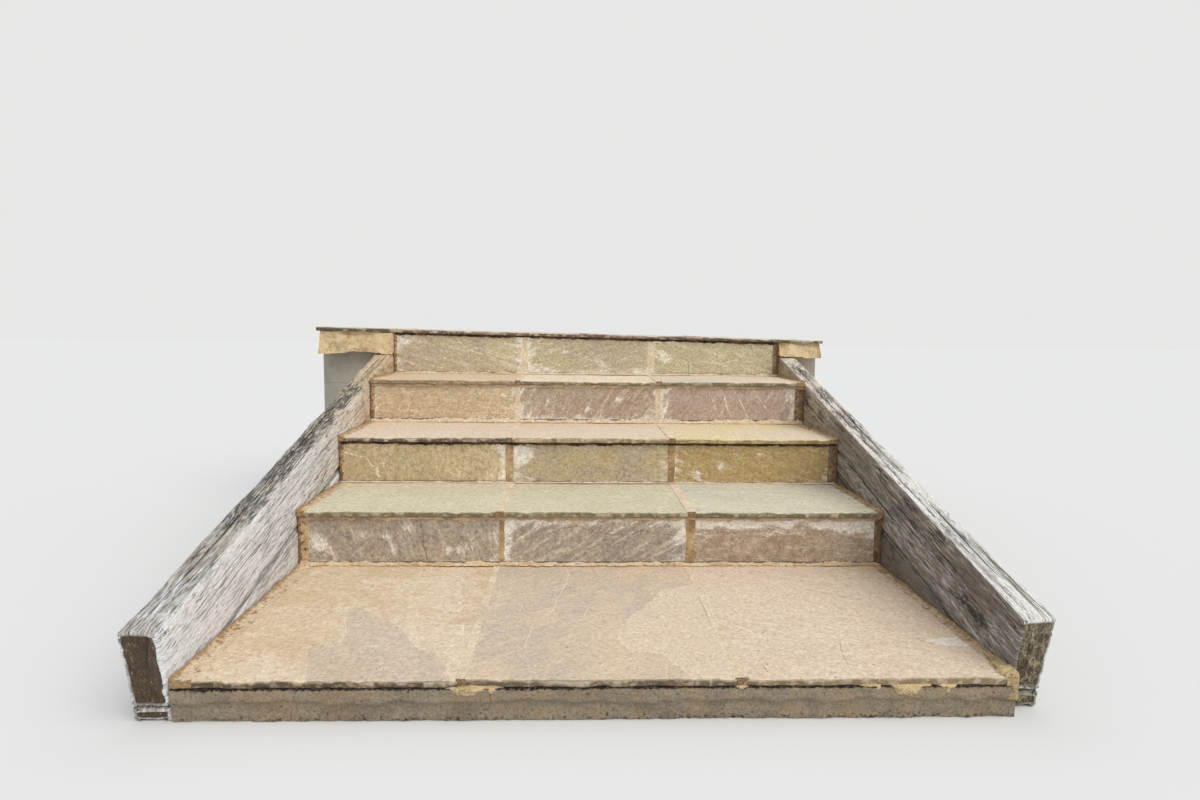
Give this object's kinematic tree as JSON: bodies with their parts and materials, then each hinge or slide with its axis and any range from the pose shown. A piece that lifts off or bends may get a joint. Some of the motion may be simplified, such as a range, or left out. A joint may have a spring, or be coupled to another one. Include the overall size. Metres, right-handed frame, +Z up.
{
  "type": "outdoor_stone_steps",
  "caption": "Outdoor steps of riven sandstone slabs on a flagged landing, with pitched nosings, sandy mortar joints and raking side walls of weathered oak sleepers.",
  "frame": {"origin": "on the ground, in the middle of the footprint of the whole flight", "axes": "+X to the right of someone who climbs the steps, +Y into the steps in the direction of climbing, +Z up"},
  "size_m": [2.496, 2.779, 0.8788],
  "materials": {
    "sandstone": "riven, weathered",
    "mortar": "rough, sandy",
    "oak": "weathered, checked",
    "concrete": "board marked"
  },
  "bodies": {
    "root": {"landing_base": "concrete", "landing_mortar": "mortar", "landing_slab_left": "sandstone", "landing_slab_middle": "sandstone", "landing_slab_right": "sandstone", "left_lower_sleeper": "oak", "left_upper_sleeper": "oak", "mortar_haunches": "mortar", "right_lower_sleeper": "oak", "right_upper_sleeper": "oak", "riser_mortar": "mortar", "riser_slab_1_left": "sandstone", "riser_slab_1_middle": "sandstone", "riser_slab_1_right": "sandstone", "riser_slab_2_left": "sandstone", "riser_slab_2_middle": "sandstone", "riser_slab_2_right": "sandstone", "riser_slab_3_left": "sandstone", "riser_slab_3_middle": "sandstone", "riser_slab_3_right": "sandstone", "riser_slab_4_left": "sandstone", "riser_slab_4_middle": "sandstone", "riser_slab_4_right": "sandstone", "sleeper_footings": "concrete", "step_base_1": "concrete", "step_base_2": "concrete", "step_base_3": "concrete", "top_base": "concrete", "top_mortar": "mortar", "top_slab_1": "sandstone", "top_slab_2": "sandstone", "top_slab_3": "sandstone", "top_slab_4": "sandstone", "tread_mortar": "mortar", "tread_slab_1_left": "sandstone", "tread_slab_1_middle": "sandstone", "tread_slab_1_right": "sandstone", "tread_slab_2_left": "sandstone", "tread_slab_2_middle": "sandstone", "tread_slab_2_right": "sandstone", "tread_slab_3_left": "sandstone", "tread_slab_3_middle": "sandstone", "tread_slab_3_right": "sandstone"}
  },
  "joints": []
}
